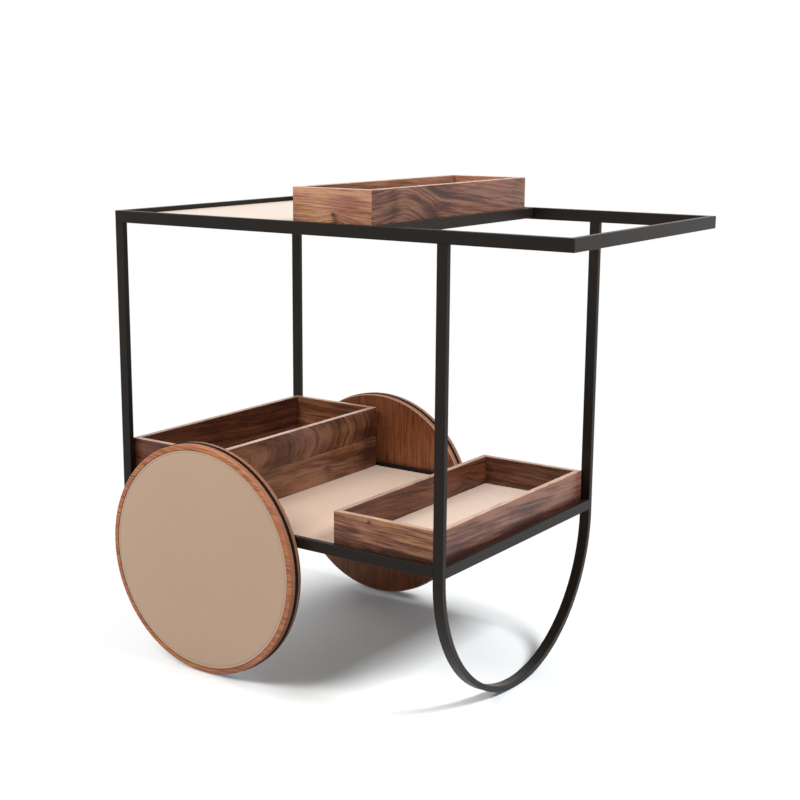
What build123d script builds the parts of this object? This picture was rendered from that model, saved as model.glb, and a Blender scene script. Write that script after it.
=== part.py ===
from build123d import *
import math
import os

# Serving trolley: welded steel frame, two leather covered shelves, two disc wheels, three loose trays.
# Millimetres. X runs along the trolley with the push handle at +X, Y across it, Z up from the floor.

# Frame sizes
frame_length = 870.0
frame_width = 492.0
rim_height = 776.0
bar_thickness = 10.0
bar_edge_radius = 0.8
top_rail_height = 20.0
crossbar_height = 18.0
crossbar_face_x = 103.0
leg_width = 18.0
front_leg_face_x = 232.0
lower_rail_height = 18.0
lower_rail_rise = 4.0

# Shelf sizes
top_recess = 8.0
lower_recess = 6.0
cover_thickness = 1.5
cover_edge_radius = 0.6
shelf_clearance = 0.5
tab_thickness = 3.0
tab_length = 26.0
tab_reach = 18.0
tab_end_margin = 55.0

# Shelf screw sizes
screw_radius = 2.0
screw_head_overhang = 2.0
screw_head_height = 2.0
screw_cover = 1.5
screw_clearance = 0.2
thread_clearance = 0.05
pilot_spare = 0.2
socket_radius = 1.4
socket_depth = 1.2

# Wheel sizes
wheel_radius = 200.0
wheel_gap = 2.5
outer_disc_thickness = 10.0
inner_disc_thickness = 9.0
disc_chamfer = 1.5
tyre_width = 7.0
tyre_depth = 30.0
tyre_proud = 1.0
tyre_edge_radius = 0.9
tyre_seat_clearance = 0.3
wood_ring_width = 9.5
inlay_recess = 2.0
inlay_clearance = 0.5
inlay_edge_radius = 0.7

# Axle and hub sizes
axle_radius = 8.0
axle_clearance = 0.05
axle_end_overhang = 2.2
axle_chamfer = 0.8
bracket_top_width = 84.0
bracket_wall = 14.0
hub_wall = 12.0
hub_clearance = 0.05
hub_flange_reach = 14.0
hub_flange_thickness = 2.5
hub_cavity_clearance = 4.0
hub_cavity_spare = 2.0
hub_screw_count = 4
hub_screw_radius = 1.8
hub_screw_bite = 4.5
hub_screw_head_radius = 3.4
hub_screw_head_height = 1.5
collar_wall = 7.0
collar_width = 12.0
grub_radius = 2.5
grub_gap = 0.4
grub_sink = 0.6
side_play = 0.4
thrust_washer_wall = 8.0
end_washer_wall = 6.0
end_washer_thickness = 1.5
clip_wall = 3.5
clip_thickness = 1.3
clip_groove_depth = 0.7
clip_play = 0.1
clip_mouth_width = 8.8

# Tray sizes
tray_side_gap = 4.0
tray_wall = 10.0
tray_edge_radius = 0.8
tray_base_thickness = 6.0
tray_base_clearance = 0.2
lining_clearance = 0.5
lining_edge_radius = 0.5
deep_tray_width = 196.0
deep_tray_height = 117.0
deep_tray_setback = 2.0
low_tray_width = 200.0
low_tray_height = 58.0
low_tray_setback = 5.0
top_tray_width = 150.0
top_tray_height = 60.0
top_tray_setback = 4.0

# How far cutting shapes run past what they cut
cut_margin = 1.0

# Values that follow from the sizes above
half_length = frame_length / 2
half_width = frame_width / 2
inner_half_width = half_width - bar_thickness
top_rail_bottom = rim_height - top_rail_height
hoop_centre_z = half_width
lower_rail_bottom = hoop_centre_z + lower_rail_rise
lower_rim_height = lower_rail_bottom + lower_rail_height
rear_inner_x = -half_length + bar_thickness
rear_leg_inner_x = -half_length + leg_width
front_inner_x = front_leg_face_x - bar_thickness
front_leg_inner_x = front_leg_face_x - leg_width
crossbar_inner_x = crossbar_face_x - bar_thickness
top_surface = rim_height - top_recess
lower_surface = lower_rim_height - lower_recess
wheel_x = wheel_radius - half_length
wood_radius = wheel_radius - tyre_proud
inlay_radius = wood_radius - wood_ring_width
core_radius = wheel_radius - tyre_depth
wheel_inner_y = half_width + wheel_gap
tyre_inner_y = wheel_inner_y + inner_disc_thickness
tyre_outer_y = tyre_inner_y + tyre_width
wheel_outer_y = tyre_outer_y + outer_disc_thickness
inlay_floor_y = wheel_outer_y - inlay_recess
axle_bore = axle_radius + axle_clearance
hub_radius = axle_radius + hub_wall
hub_flange_radius = hub_radius + hub_flange_reach
hub_flange_y = tyre_inner_y + hub_flange_thickness
hub_screw_circle = (hub_radius + hub_flange_radius) / 2
hub_cavity_radius = hub_flange_radius + hub_cavity_clearance
end_washer_y = hub_flange_y + side_play
clip_y = end_washer_y + end_washer_thickness + clip_play
axle_end_y = clip_y + clip_thickness + axle_end_overhang
hub_cavity_y = axle_end_y + hub_cavity_spare


def block(x_low, x_high, y_low, y_high, z_low, z_high):
    """Box given by its limits along each axis."""
    centre = ((x_low + x_high) / 2, (y_low + y_high) / 2, (z_low + z_high) / 2)
    return Pos(*centre) * Box(x_high - x_low, y_high - y_low, z_high - z_low)


def bar(x_low, x_high, y_low, y_high, z_low, z_high, along):
    """Box with its long edges rounded; along is the axis of the bar."""
    solid = block(x_low, x_high, y_low, y_high, z_low, z_high)
    return fillet(solid.edges().filter_by(along), bar_edge_radius)


def rod(x, z, radius, y_low, y_high):
    """Cylinder along Y between two Y limits."""
    return Pos(x, (y_low + y_high) / 2, z) * Rot(90, 0, 0) * Cylinder(radius, y_high - y_low)


def disc(radius, y_low, y_high):
    """Cylinder about the wheel axle between two Y limits."""
    return rod(wheel_x, wheel_radius, radius, y_low, y_high)


def ring(inner, outer, y_low, y_high):
    """Washer shape about the wheel axle."""
    return disc(outer, y_low, y_high) - disc(inner, y_low - cut_margin, y_high + cut_margin)


def rims(shape):
    """Round edges of a shape, from the lowest Y to the highest."""
    return shape.edges().filter_by(GeomType.CIRCLE).sort_by(Axis.Y)


def far_of(shape):
    """The same piece on the other side of the trolley."""
    return mirror(shape, about=Plane.XZ)


def pair_of(shape):
    """A piece and its mirror image, as one group of separate solids."""
    return Compound(children=[shape, far_of(shape)])


def mitred_frame(x_low, x_high, y_low, y_high, z_low, z_high, thickness, edge_radius):
    """Four walls round a rectangle with their edges rounded, parted at 45 degree mitres."""

    def corners(inset):
        """Corners of the rectangle drawn in by an inset, against the clock from the near rear one."""
        west, east, south, north = x_low + inset, x_high - inset, y_low + inset, y_high - inset
        return ((west, south), (east, south), (east, north), (west, north))

    base, top = z_low - cut_margin, z_high + cut_margin
    hole = block(x_low + thickness, x_high - thickness, y_low + thickness, y_high - thickness, base, top)
    walls = block(x_low, x_high, y_low, y_high, z_low, z_high) - hole
    inner_uprights = walls.edges().filter_by(Axis.Z).filter_by(lambda edge: x_low < edge.center().X < x_high)
    walls = fillet([edge for edge in walls.edges() if edge not in inner_uprights], edge_radius)
    outside, inside = corners(-cut_margin), corners(thickness + cut_margin)
    pieces = {}
    for index, side in enumerate(("near", "front", "far", "rear")):
        after = (index + 1) % 4
        outline = (outside[index], outside[after], inside[after], inside[index])
        face = make_face(Polyline(*[(x, y, base) for x, y in outline], close=True))
        pieces[side] = walls & extrude(face, top - base, dir=(0, 0, 1))
    return pieces


parts = {}

# Top frame
top_limits = (-half_length, half_length, -half_width, half_width, top_rail_bottom, rim_height)
top_frame = mitred_frame(*top_limits, bar_thickness, bar_edge_radius)
parts["top_near_rail"] = top_frame["near"]
parts["top_far_rail"] = top_frame["far"]
parts["top_rear_rail"] = top_frame["rear"]
parts["handle_rail"] = top_frame["front"]
between_rails = (-inner_half_width, inner_half_width)
crossbar_heights = (rim_height - crossbar_height, rim_height)
parts["top_crossbar"] = bar(crossbar_inner_x, crossbar_face_x, *between_rails, *crossbar_heights, Axis.Y)

# Legs
near_plane = (-half_width, -inner_half_width)
rear_leg = bar(-half_length, rear_leg_inner_x, *near_plane, lower_rail_bottom, top_rail_bottom, Axis.Z)
front_leg = bar(front_leg_inner_x, front_leg_face_x, *near_plane, hoop_centre_z, top_rail_bottom, Axis.Z)
parts["rear_leg_near"] = rear_leg
parts["rear_leg_far"] = far_of(rear_leg)
parts["front_leg_near"] = front_leg
parts["front_leg_far"] = far_of(front_leg)

# Hoop under the front legs: the lower half of a ring of the same bar
hoop = Cylinder(half_width, leg_width) - Cylinder(inner_half_width, leg_width + cut_margin)
hoop = fillet(hoop.edges().filter_by(GeomType.CIRCLE), bar_edge_radius)
hoop = Pos(front_leg_face_x - leg_width / 2, 0, hoop_centre_z) * Rot(0, 90, 0) * hoop
hoop_side = half_width + cut_margin
parts["front_hoop"] = hoop & block(
    front_leg_inner_x, front_leg_face_x, -hoop_side, hoop_side, -cut_margin, hoop_centre_z
)

# Lower frame
lower_heights = (lower_rail_bottom, lower_rim_height)
lower_side = bar(rear_leg_inner_x, front_leg_inner_x, *near_plane, *lower_heights, Axis.X)
parts["lower_near_rail"] = lower_side
parts["lower_far_rail"] = far_of(lower_side)
parts["lower_rear_rail"] = bar(-half_length, rear_inner_x, *between_rails, *lower_heights, Axis.Y)
parts["lower_front_rail"] = bar(front_inner_x, front_leg_face_x, *between_rails, *lower_heights, Axis.Y)


def countersunk(head_radius, shank_radius, length):
    """Head cone and shank of a countersunk screw that points up from the origin."""
    head = Pos(0, 0, screw_head_height / 2) * Cone(head_radius, shank_radius, screw_head_height)
    shank = Pos(0, 0, (screw_head_height + length) / 2) * Cylinder(shank_radius, length - screw_head_height)
    return head + shank


def shelf(front_x, surface, rail_bottom):
    """Board, leather cover, welded tabs and countersunk screws of one shelf."""
    side_y = inner_half_width - shelf_clearance
    x_low, x_high = rear_inner_x + shelf_clearance, front_x - shelf_clearance
    board_top, board_bottom = surface - cover_thickness, rail_bottom + tab_thickness
    board = block(x_low, x_high, -side_y, side_y, board_bottom, board_top)
    cover = block(x_low, x_high, -side_y, side_y, board_top, surface)
    cover = fillet(cover.faces().sort_by(Axis.Z)[-1].edges(), cover_edge_radius)
    screw_length = board_top - rail_bottom - screw_cover
    head_radius = screw_radius + screw_head_overhang
    screw = countersunk(head_radius, screw_radius, screw_length)
    screw = screw - extrude(RegularPolygon(socket_radius, 6), socket_depth)
    sink_length = tab_thickness + cut_margin
    sink = countersunk(head_radius + screw_clearance, screw_radius + screw_clearance, sink_length)
    pilot_length = screw_length + pilot_spare
    pilot = Pos(0, 0, pilot_length / 2) * Cylinder(screw_radius + thread_clearance, pilot_length)
    first_x, last_x = rear_inner_x + tab_end_margin, front_x - tab_end_margin
    tabs, screws = [], []
    for x in (first_x, (first_x + last_x) / 2, last_x):
        for side in (-1, 1):
            y = side * (inner_half_width - tab_reach / 2)
            tab = Pos(x, y, rail_bottom + tab_thickness / 2) * Box(tab_length, tab_reach, tab_thickness)
            spot = Pos(x, y, rail_bottom)
            tabs.append(tab - spot * sink)
            screws.append(spot * screw)
            board = board - spot * pilot
    return board, cover, tabs, screws


# Shelves
top_board, top_cover, top_tabs, top_screws = shelf(crossbar_inner_x, top_surface, top_rail_bottom)
lower_board, lower_cover, lower_tabs, lower_screws = shelf(front_inner_x, lower_surface, lower_rail_bottom)
parts["top_board"] = top_board
parts["top_leather"] = top_cover
parts["lower_board"] = lower_board
parts["lower_leather"] = lower_cover
parts["panel_tabs"] = Compound(children=top_tabs + lower_tabs)
parts["panel_screws"] = Compound(children=top_screws + lower_screws)

# Axle brackets: a plate under each lower rail that narrows to a round end about the axle
bracket_end_radius = axle_radius + bracket_wall
bracket_drop = lower_rail_bottom - wheel_radius
half_top = bracket_top_width / 2
slant = math.hypot(half_top, bracket_drop)
touch_angle = math.atan2(half_top, bracket_drop) + math.acos(bracket_end_radius / slant)
touch_x = bracket_end_radius * math.sin(touch_angle)
touch_z = bracket_end_radius * math.cos(touch_angle)
top_corner, touch = (half_top, bracket_drop), (touch_x, touch_z)
outline = (top_corner, touch, (-touch_x, touch_z), (-half_top, bracket_drop))
bracket_points = [(wheel_x + x, -half_width, wheel_radius + z) for x, z in outline]
bracket = extrude(make_face(Polyline(*bracket_points, close=True)), bar_thickness, dir=(0, 1, 0))
bracket = bracket + disc(bracket_end_radius, -half_width, -inner_half_width)
bracket = bracket - disc(axle_bore, -half_width - cut_margin, -inner_half_width + cut_margin)
parts["near_axle_bracket"] = bracket
parts["far_axle_bracket"] = far_of(bracket)

# Axle with a clip groove near each end
groove_radius = axle_radius - clip_groove_depth
groove_limits = (-clip_y - clip_thickness - clip_play, -clip_y + clip_play)
groove = ring(groove_radius, axle_radius + cut_margin, *groove_limits)
axle = chamfer(rims(disc(axle_radius, -axle_end_y, axle_end_y)), axle_chamfer)
parts["axle"] = axle - groove - far_of(groove)

# Collars that hold the axle between the brackets, and their grub screws
collar_radius = axle_radius + collar_wall
grub_y = -inner_half_width + collar_width / 2
grub_low, grub_high = axle_radius + grub_gap, collar_radius - grub_sink
grub_axis = Pos(wheel_x, grub_y, wheel_radius)
grub = grub_axis * Pos(0, 0, (grub_low + grub_high) / 2) * Cylinder(grub_radius, grub_high - grub_low)
grub = grub - extrude(grub_axis * Pos(0, 0, grub_high) * RegularPolygon(socket_radius, 6), -socket_depth)
grub_hole = grub_axis * Pos(0, 0, collar_radius / 2) * Cylinder(grub_radius + thread_clearance, collar_radius)
collar = ring(axle_bore, collar_radius, -inner_half_width, -inner_half_width + collar_width) - grub_hole
parts["axle_collars"] = pair_of(collar)
parts["collar_grub_screws"] = pair_of(grub)

# Washers and clips that hold the wheels on the axle
thrust_washer = ring(axle_bore, axle_radius + thrust_washer_wall, -wheel_inner_y + side_play, -half_width)
parts["thrust_washers"] = pair_of(thrust_washer)
end_washer_limits = (-end_washer_y - end_washer_thickness, -end_washer_y)
end_washer = ring(axle_bore, axle_radius + end_washer_wall, *end_washer_limits)
parts["end_washers"] = pair_of(end_washer)
clip_radius = axle_radius + clip_wall
clip = ring(groove_radius + axle_clearance, clip_radius, -clip_y - clip_thickness, -clip_y)
clip_mouth = Box(clip_mouth_width, 2 * clip_radius, 2 * clip_radius)
clip_mouth = Pos(wheel_x, -clip_y, wheel_radius - clip_radius) * clip_mouth
parts["retaining_rings"] = pair_of(clip - clip_mouth)

# Near wheel: the outer disc carries the leather inlay outside and a core inside the tyre
outer_disc = disc(wood_radius, -wheel_outer_y, -tyre_outer_y)
outer_disc = chamfer(rims(outer_disc)[0], disc_chamfer)
outer_disc = outer_disc + disc(core_radius - tyre_seat_clearance, -tyre_outer_y, -tyre_inner_y)
outer_disc = outer_disc - disc(inlay_radius, -wheel_outer_y - cut_margin, -inlay_floor_y)
outer_disc = outer_disc - disc(hub_cavity_radius, -hub_cavity_y, -tyre_inner_y + cut_margin)
inlay = disc(inlay_radius - inlay_clearance, -inlay_floor_y - cover_thickness, -inlay_floor_y)
inlay = fillet(rims(inlay)[0], inlay_edge_radius)
tyre = ring(core_radius, wheel_radius, -tyre_outer_y, -tyre_inner_y)
tyre = fillet(rims(tyre).filter_by(lambda edge: edge.radius > core_radius), tyre_edge_radius)
inner_disc = disc(wood_radius, -tyre_inner_y, -wheel_inner_y)
inner_disc = chamfer(rims(inner_disc)[-1], disc_chamfer)
hub_seat = disc(hub_radius + hub_clearance, -tyre_inner_y - cut_margin, -wheel_inner_y + cut_margin)
inner_disc = inner_disc - hub_seat
hub = disc(hub_radius, -tyre_inner_y, -wheel_inner_y) + disc(hub_flange_radius, -hub_flange_y, -tyre_inner_y)
hub = hub - disc(axle_bore, -hub_flange_y - cut_margin, -wheel_inner_y + cut_margin)

# Hub screws, through the flange into the inner disc
hub_screw_tip_y = -tyre_inner_y + hub_screw_bite
hub_screws = []
for index in range(hub_screw_count):
    turn = 2 * math.pi * (index + 0.5) / hub_screw_count
    x = wheel_x + hub_screw_circle * math.cos(turn)
    z = wheel_radius + hub_screw_circle * math.sin(turn)
    head = rod(x, z, hub_screw_head_radius, -hub_flange_y - hub_screw_head_height, -hub_flange_y)
    hub_screws.append(head + rod(x, z, hub_screw_radius, -hub_flange_y, hub_screw_tip_y))
    hole_limits = (-hub_flange_y - cut_margin, hub_screw_tip_y + pilot_spare)
    hole = rod(x, z, hub_screw_radius + thread_clearance, *hole_limits)
    hub = hub - hole
    inner_disc = inner_disc - hole

# Both wheels
near_wheel = {
    "outer_disc": outer_disc,
    "leather": inlay,
    "tyre": tyre,
    "inner_disc": inner_disc,
    "hub": hub,
    "hub_screws": Compound(children=hub_screws),
}
for name, shape in near_wheel.items():
    parts["near_wheel_" + name] = shape
    parts["far_wheel_" + name] = far_of(shape)


def tray(name, x_low, width, floor_z, height):
    """Four mitred walls and a base of one loose tray; returns the limits of its base in X and Y."""
    half = inner_half_width - tray_side_gap
    outside = (x_low, x_low + width, -half, half, floor_z, floor_z + height)
    walls = mitred_frame(*outside, tray_wall, tray_edge_radius)
    for side, wall in walls.items():
        parts[name + "_" + side + "_wall"] = wall
    inset = tray_wall + tray_base_clearance
    limits = (x_low + inset, x_low + width - inset, -half + inset, half - inset)
    parts[name + "_base"] = block(*limits, floor_z, floor_z + tray_base_thickness)
    return limits


def lining(name, limits, floor_z):
    """Leather lying on the base of a tray."""
    x_low, x_high, y_low, y_high = limits
    gap, low = lining_clearance, floor_z + tray_base_thickness
    sheet = block(x_low + gap, x_high - gap, y_low + gap, y_high - gap, low, low + cover_thickness)
    parts[name + "_lining"] = fillet(sheet.faces().sort_by(Axis.Z)[-1].edges(), lining_edge_radius)


# Deep tray at the wheel end; its long walls are each glued from two boards
tray("deep_tray", rear_inner_x + deep_tray_setback, deep_tray_width, lower_surface, deep_tray_height)
deep_seam = lower_surface + deep_tray_height / 2
below_seam = block(-half_length, half_length, -half_width, half_width, lower_surface - cut_margin, deep_seam)
for side in ("front", "rear"):
    wall = parts.pop("deep_tray_" + side + "_wall")
    parts["deep_tray_" + side + "_lower_board"] = wall & below_seam
    parts["deep_tray_" + side + "_upper_board"] = wall - below_seam

# Low tray at the handle end of the lower shelf
low_tray_x = front_inner_x - low_tray_setback - low_tray_width
low_base = tray("low_tray", low_tray_x, low_tray_width, lower_surface, low_tray_height)
lining("low_tray", low_base, lower_surface)

# Top tray against the crossbar
top_tray_x = crossbar_inner_x - top_tray_setback - top_tray_width
top_base = tray("top_tray", top_tray_x, top_tray_width, top_surface, top_tray_height)
lining("top_tray", top_base, top_surface)

os.makedirs("parts", exist_ok=True)
for name, shape in parts.items():
    export_step(shape, "parts/" + name + ".step")
print(len(parts), "parts")
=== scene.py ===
"""Looks of a serving trolley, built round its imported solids.

Metres. +X runs along the trolley towards the push handle, +Y across it, +Z up from the floor.
"""

import logging
import math
from dataclasses import dataclass, replace
from enum import Enum
from typing import Any, Optional, Union

import bmesh
import bpy
import numpy as np
from mathutils import Matrix, Vector


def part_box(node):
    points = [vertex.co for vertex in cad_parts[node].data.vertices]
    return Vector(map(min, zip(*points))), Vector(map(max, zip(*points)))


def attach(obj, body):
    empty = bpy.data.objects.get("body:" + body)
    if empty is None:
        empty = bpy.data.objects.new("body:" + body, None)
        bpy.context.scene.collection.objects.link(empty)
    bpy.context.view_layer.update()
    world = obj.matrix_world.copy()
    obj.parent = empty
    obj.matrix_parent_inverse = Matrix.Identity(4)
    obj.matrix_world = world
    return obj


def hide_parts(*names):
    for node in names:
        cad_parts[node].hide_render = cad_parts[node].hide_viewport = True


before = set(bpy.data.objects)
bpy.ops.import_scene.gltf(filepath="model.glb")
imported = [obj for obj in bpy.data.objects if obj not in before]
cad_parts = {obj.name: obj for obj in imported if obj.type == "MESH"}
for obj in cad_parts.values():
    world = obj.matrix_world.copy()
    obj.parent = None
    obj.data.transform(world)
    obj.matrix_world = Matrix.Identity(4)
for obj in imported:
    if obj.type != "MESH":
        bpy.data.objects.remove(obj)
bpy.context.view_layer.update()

log = logging.getLogger("trolley")

Colour = tuple[float, float, float]
Point = tuple[float, float, float]
Pair = tuple[float, float]
Number = Union["Signal", float]
Tint = Union["Signal", Colour]
Spot = tuple["Signal", "Signal", "Signal"]

EDGE_ATTRIBUTE = "edge_distance"
WHITE = (1.0, 1.0, 1.0)
NOISE_MEAN = 0.5
CREASE_INSET = 0.0042
SHARP_ANGLE = math.radians(50.0)


class Signal:
    """A shader socket that adds Math nodes when it is used in an expression."""

    def __init__(self, recipe: "Recipe", socket: bpy.types.NodeSocket) -> None:
        """Keeps the socket and the recipe that it belongs to."""
        self.recipe = recipe
        self.socket = socket

    def __add__(self, other: Number) -> "Signal":
        """This value plus another."""
        return self.recipe.maths("ADD", self, other)

    def __radd__(self, other: Number) -> "Signal":
        """Another value plus this one."""
        return self.recipe.maths("ADD", other, self)

    def __sub__(self, other: Number) -> "Signal":
        """This value less another."""
        return self.recipe.maths("SUBTRACT", self, other)

    def __rsub__(self, other: Number) -> "Signal":
        """Another value less this one."""
        return self.recipe.maths("SUBTRACT", other, self)

    def __mul__(self, other: Number) -> "Signal":
        """This value times another."""
        return self.recipe.maths("MULTIPLY", self, other)

    def __rmul__(self, other: Number) -> "Signal":
        """Another value times this one."""
        return self.recipe.maths("MULTIPLY", other, self)

    def __truediv__(self, other: Number) -> "Signal":
        """This value over another."""
        return self.recipe.maths("DIVIDE", self, other)

    def __rtruediv__(self, other: Number) -> "Signal":
        """Another value over this one."""
        return self.recipe.maths("DIVIDE", other, self)

    def __abs__(self) -> "Signal":
        """This value without its sign."""
        return self.recipe.maths("ABSOLUTE", self)

    def sway(self, amount: float) -> "Signal":
        """How far a noise lies from its mean, times an amount."""
        return (self - NOISE_MEAN) * amount


class Recipe:
    """The node tree of one material, written as expressions."""

    def __init__(self, tree: bpy.types.NodeTree) -> None:
        """Starts from the emptied tree of a material or of the world."""
        self.tree = tree
        tree.nodes.clear()

    def node(
        self,
        kind: str,
        settings: Optional[dict[str, Any]] = None,
        inputs: Optional[dict[Union[str, int], Any]] = None,
        output: Union[str, int] = 0,
    ) -> Signal:
        """Adds one node.

        Args:
            kind: The node's type.
            settings: Its properties, set first; "stops" gives a ramp's places and colours.
            inputs: Values or signals for its sockets, by name or number.
            output: Which of its outputs to hand back.

        Returns:
            The chosen output.
        """
        made = self.tree.nodes.new(kind)
        for key, value in (settings or {}).items():
            if key == "stops":
                self.set_stops(made.color_ramp, value)
            else:
                setattr(made, key, value)
        for key, value in (inputs or {}).items():
            self.feed(made.inputs[key], value)
        return Signal(self, made.outputs[output])

    def feed(self, socket: bpy.types.NodeSocket, value: Any) -> None:
        """Links a signal to a socket, or sets the socket's own value.

        Args:
            socket: The input to set.
            value: A signal, a number, a vector or a colour of three parts.
        """
        if isinstance(value, Signal):
            self.tree.links.new(value.socket, socket)
        elif socket.type == "RGBA":
            socket.default_value = (*value, 1.0)
        else:
            socket.default_value = value

    @staticmethod
    def set_stops(ramp: bpy.types.ColorRamp, stops: list[tuple[float, Colour]]) -> None:
        """Gives a colour ramp its stops.

        Args:
            ramp: The ramp to change.
            stops: Places from 0 to 1 with their colours.
        """
        while len(ramp.elements) < len(stops):
            ramp.elements.new(1.0)
        for element, (place, colour) in zip(ramp.elements, stops):
            element.position = place
            element.color = (*colour, 1.0)

    def maths(self, operation: str, *values: Number) -> Signal:
        """One Math node on the given values."""
        return self.node("ShaderNodeMath", {"operation": operation}, dict(enumerate(values)))

    def place(self) -> Signal:
        """Object coordinates, which are metres in the trolley's frame."""
        return self.node("ShaderNodeTexCoord", output="Object")

    def split(self, vector: Signal) -> Spot:
        """The three parts of a vector."""
        made = self.node("ShaderNodeSeparateXYZ", inputs={0: vector}).socket.node
        return tuple(Signal(self, socket) for socket in made.outputs)

    def join(self, x: Number, y: Number, z: Number) -> Signal:
        """A vector from three values."""
        return self.node("ShaderNodeCombineXYZ", inputs={0: x, 1: y, 2: z})

    def noise(self, vector: Signal, scale: float = 1.0, detail: float = 2.0, rough: float = 0.5) -> Signal:
        """Cloudy noise from 0 to 1, where scale is the clouds in a unit of the vector."""
        inputs = {"Vector": vector, "Scale": scale, "Detail": detail, "Roughness": rough}
        return self.node("ShaderNodeTexNoise", inputs=inputs)

    def streaks(
        self, parts: Spot, rates: Point, shift: Pair = (0.0, 0.0), detail: float = 2.0, rough: float = 0.5
    ) -> Signal:
        """Noise with a rate of its own along each of three directions; a shift moves the first two."""
        first, second, third = (part * rate for part, rate in zip(parts, rates))
        return self.noise(self.join(first + shift[0], second + shift[1], third), 1.0, detail, rough)

    def noise_line(self, value: Signal, detail: float = 1.0, rough: float = 0.5) -> Signal:
        """Noise from 0 to 1 that depends on one value."""
        inputs = {"W": value, "Scale": 1.0, "Detail": detail, "Roughness": rough}
        return self.node("ShaderNodeTexNoise", {"noise_dimensions": "1D"}, inputs)

    def smooth(self, value: Number, low: float, high: float) -> Signal:
        """Rises smoothly from 0 at low to 1 at high."""
        inputs = {"Value": value, "From Min": low, "From Max": high}
        return self.node("ShaderNodeMapRange", {"interpolation_type": "SMOOTHSTEP"}, inputs)

    def mix(self, share: Number, first: Tint, second: Tint, blend: str = "MIX") -> Signal:
        """A colour between two others: a share of 0 gives the first, and 1 the second."""
        settings = {"data_type": "RGBA", "blend_type": blend, "clamp_factor": True}
        return self.node("ShaderNodeMix", settings, {0: share, 6: first, 7: second}, output=2)

    def bump(self, height: Signal, strength: float, distance: float) -> Signal:
        """Normals tilted by a height from 0 to 1, where 1 is worth the distance in metres."""
        inputs = {"Strength": strength, "Distance": distance, "Height": height}
        return self.node("ShaderNodeBump", inputs=inputs)

    def ramp(self, value: Signal, stops: list[tuple[float, Colour]]) -> Signal:
        """A colour picked from stops by a value from 0 to 1."""
        return self.node("ShaderNodeValToRGB", {"stops": stops}, {"Fac": value})

    def close(self, surface: Signal, output: str = "ShaderNodeOutputMaterial") -> None:
        """Links a shader to a new output node of the tree."""
        out = self.tree.nodes.new(output)
        self.tree.links.new(surface.socket, out.inputs["Surface"])


class Finish:
    """What every finish shares: a named material with a Principled shader."""

    name: str

    def paint(self, recipe: Recipe) -> dict[str, Any]:
        """Each finish works out its own values for the shader's sockets."""
        raise NotImplementedError

    def material(self) -> bpy.types.Material:
        """Builds the material.

        Returns:
            A new material named for the finish.
        """
        made = bpy.data.materials.new(self.name)
        made.use_nodes = True
        recipe = Recipe(made.node_tree)
        sockets = self.paint(recipe)
        recipe.close(recipe.node("ShaderNodeBsdfPrincipled", inputs=sockets))
        return made


@dataclass(frozen=True)
class Leather(Finish):
    """Smooth calf leather with fine pores, a pressed line and a burnished edge."""

    name: str = "beige_leather"
    skin: Colour = (0.6, 0.395, 0.262)
    shade: Colour = (0.525, 0.335, 0.217)
    burnish: Colour = (0.1, 0.055, 0.033)
    crease_half: float = 0.0011
    crease_tone: float = 0.38
    edge_width: float = 0.0008
    edge_tone: float = 0.5
    sheen: float = 0.75
    sheen_roughness: float = 0.6
    roughness: float = 0.54
    specular: float = 0.25
    cloud_rate: float = 5.0
    mottle_rate: float = 70.0
    pore_rate: float = 760.0
    wrinkle_rate: float = 240.0
    plain_tone: float = 0.35
    cloud_tone: float = 1.1
    mottle_tone: float = 0.35
    pore_tone: float = 0.25
    mottle_gloss: float = 0.1
    pore_gloss: float = 0.06
    pore_height: float = 0.6
    wrinkle_height: float = 0.5
    bump: Pair = (0.07, 0.00035)

    def paint(self, recipe: Recipe) -> dict[str, Any]:
        """Pores are cells of 1.3 mm; the edge and the pressed line follow the distance from the edge.

        Args:
            recipe: The material's tree.

        Returns:
            What goes into the shader's sockets.
        """
        place = recipe.place()
        edge = recipe.node("ShaderNodeAttribute", {"attribute_name": EDGE_ATTRIBUTE}, output="Fac")
        cloud = recipe.noise(place, self.cloud_rate, detail=4.0)
        mottle = recipe.noise(place, self.mottle_rate, detail=3.0)
        wrinkle = recipe.noise(place, self.wrinkle_rate, detail=3.0, rough=0.6)
        cells = {"Vector": place, "Scale": self.pore_rate}
        pores = recipe.node("ShaderNodeTexVoronoi", {"feature": "SMOOTH_F1"}, cells, "Distance")
        line = 1.0 - recipe.smooth(abs(edge - CREASE_INSET), 0.0, self.crease_half)
        rim = 1.0 - recipe.smooth(edge, 0.0, self.edge_width)
        tone = cloud.sway(self.cloud_tone) + mottle.sway(self.mottle_tone) + pores * self.pore_tone
        colour = recipe.mix(tone + self.plain_tone, self.skin, self.shade)
        colour = recipe.mix(line * self.crease_tone, colour, self.burnish)
        colour = recipe.mix(rim * self.edge_tone, colour, self.burnish)
        height = (1.0 - pores) * self.pore_height + wrinkle * self.wrinkle_height
        return {
            "Base Color": colour,
            "Roughness": self.roughness + mottle.sway(self.mottle_gloss) + pores * self.pore_gloss,
            "Specular IOR Level": self.specular,
            "Sheen Weight": self.sheen,
            "Sheen Roughness": self.sheen_roughness,
            "Normal": recipe.bump(height, *self.bump),
        }


class Grain(Enum):
    """How a board lies: the axes along its fibres, across its face and through its thickness."""

    WALL_ALONG_X = (0, 2, 1)
    WALL_ALONG_Y = (1, 2, 0)
    FLOOR_ALONG_Y = (1, 0, 2)
    DISC_UPRIGHT = (2, 0, 1)


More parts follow.
